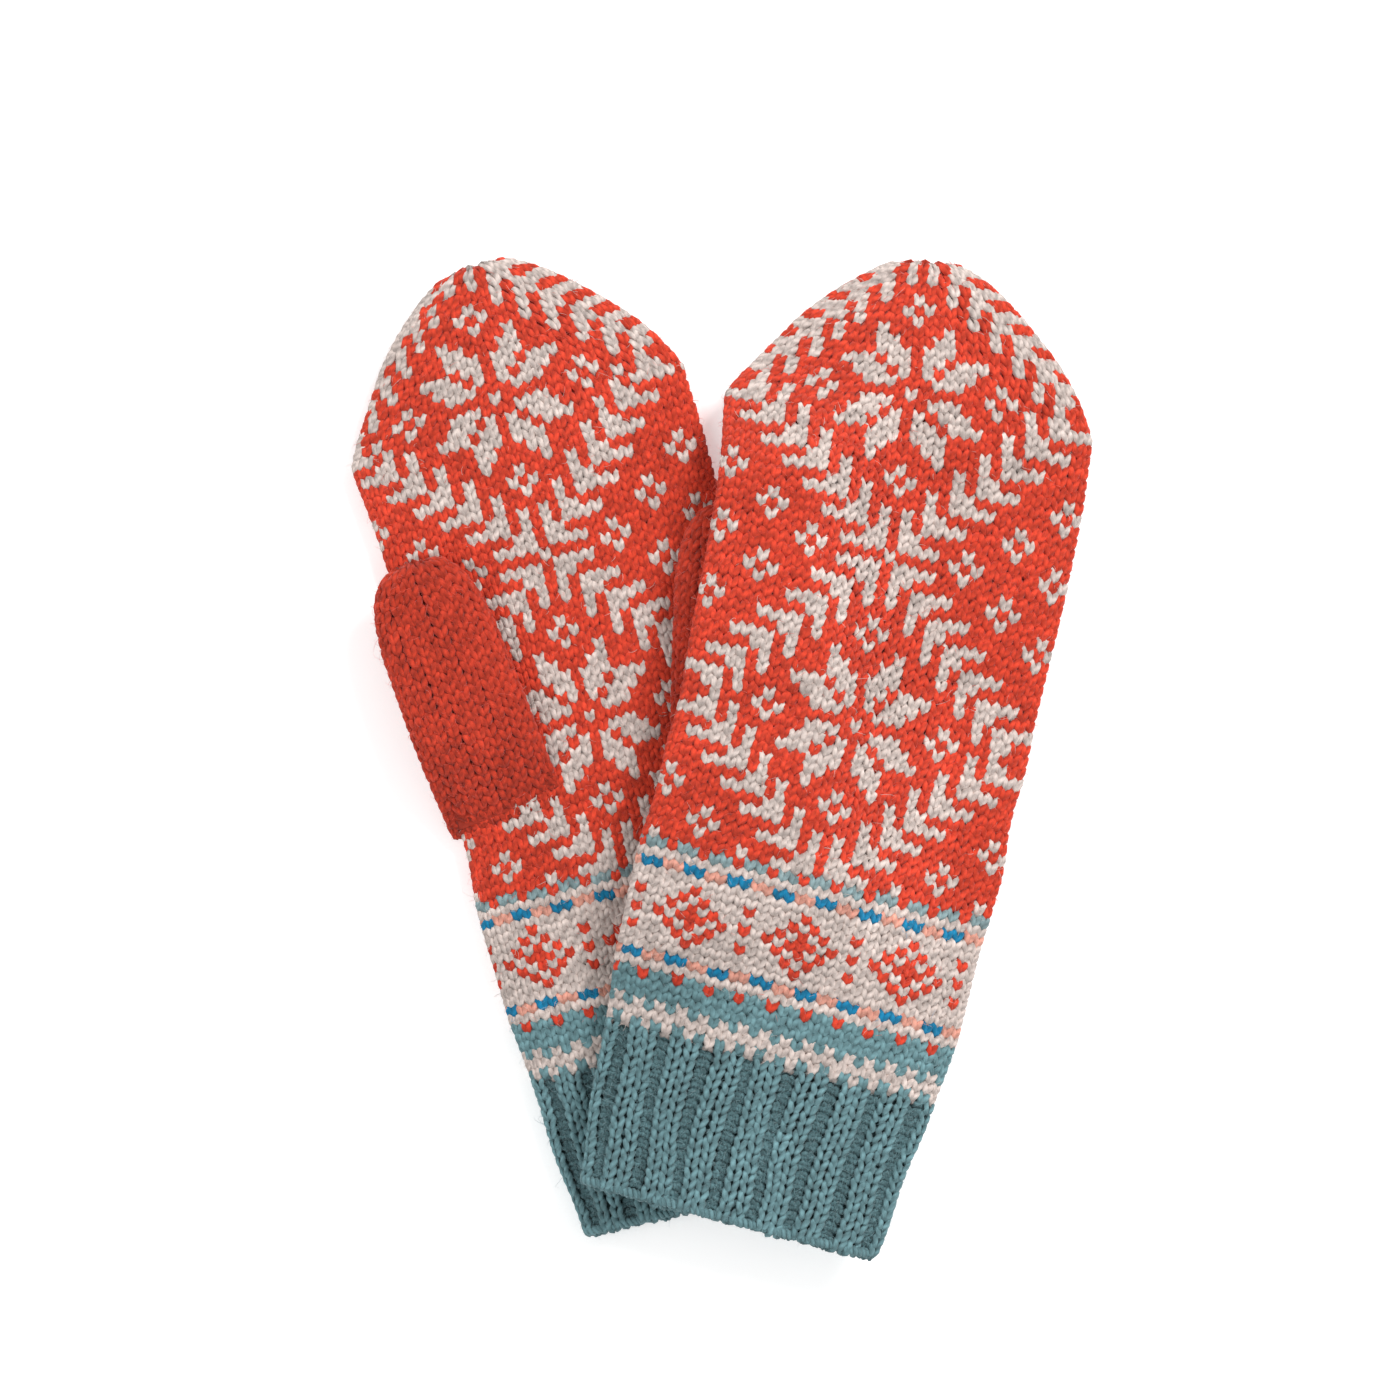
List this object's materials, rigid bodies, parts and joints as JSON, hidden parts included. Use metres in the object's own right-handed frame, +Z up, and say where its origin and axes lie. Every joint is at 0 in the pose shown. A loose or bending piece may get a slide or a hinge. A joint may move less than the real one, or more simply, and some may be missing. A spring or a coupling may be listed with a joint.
{
  "type": "pair of knitted mittens",
  "caption": "Pair of stranded-colourwork knitted mittens lying flat, one over the other, with ribbed cuffs and plain thumbs.",
  "frame": {"origin": "on the surface the pair lies on, under the middle of the pair's box", "axes": "+Y towards the fingertips, +X towards the right mitten, +Z up from the surface"},
  "size_m": [0.1988, 0.2676, 0.0292],
  "materials": {
    "star_knit": "orange-red wool knitted with pale stars and sprigs",
    "border_knit": "pale wool knitted with blue, pink and red motifs",
    "teal_pale_knit": "teal wool with a pale stripe",
    "teal_yarn": "teal wool, ribbed",
    "orange_yarn": "orange-red wool, plain knitting",
    "pale_yarn": "pale undyed wool",
    "blue_yarn": "blue wool",
    "pink_yarn": "pale pink wool"
  },
  "bodies": {
    "left_mitten": {"left_cast_on_edge": "teal_yarn", "left_rib_cuff": "teal_yarn", "left_stripe_band": "teal_pale_knit", "left_border_band": "border_knit", "left_palm": "star_knit", "left_back": "star_knit", "left_fingertip": "star_knit", "left_thumb_gusset": "orange_yarn"},
    "left_thumb": {"left_thumb_tube": "orange_yarn", "left_thumb_tip": "orange_yarn"},
    "right_mitten": {"right_cast_on_edge": "teal_yarn", "right_rib_cuff": "teal_yarn", "right_stripe_band": "teal_pale_knit", "right_border_band": "border_knit", "right_palm": "star_knit", "right_back": "star_knit", "right_fingertip": "star_knit", "right_thumb_gusset": "orange_yarn"},
    "right_thumb": {"right_thumb_tube": "orange_yarn", "right_thumb_tip": "orange_yarn"}
  },
  "joints": [
    {"name": "right_mitten_lift", "type": "slide", "parent": "left_mitten", "child": "right_mitten", "axis": [0, 0, 1], "range_m": [0, 0.12]},
    {"name": "left_thumb_swing", "type": "hinge", "parent": "left_mitten", "child": "left_thumb", "pos_m": [-0.073, -0.0203, 0.0145], "axis": [0, 0, 1], "range_deg": [0, 40]},
    {"name": "right_thumb_swing", "type": "hinge", "parent": "right_mitten", "child": "right_thumb", "pos_m": [-0.01343, -0.00318, 0.0145], "axis": [0, 0, 1], "range_deg": [0, 35]}
  ]
}
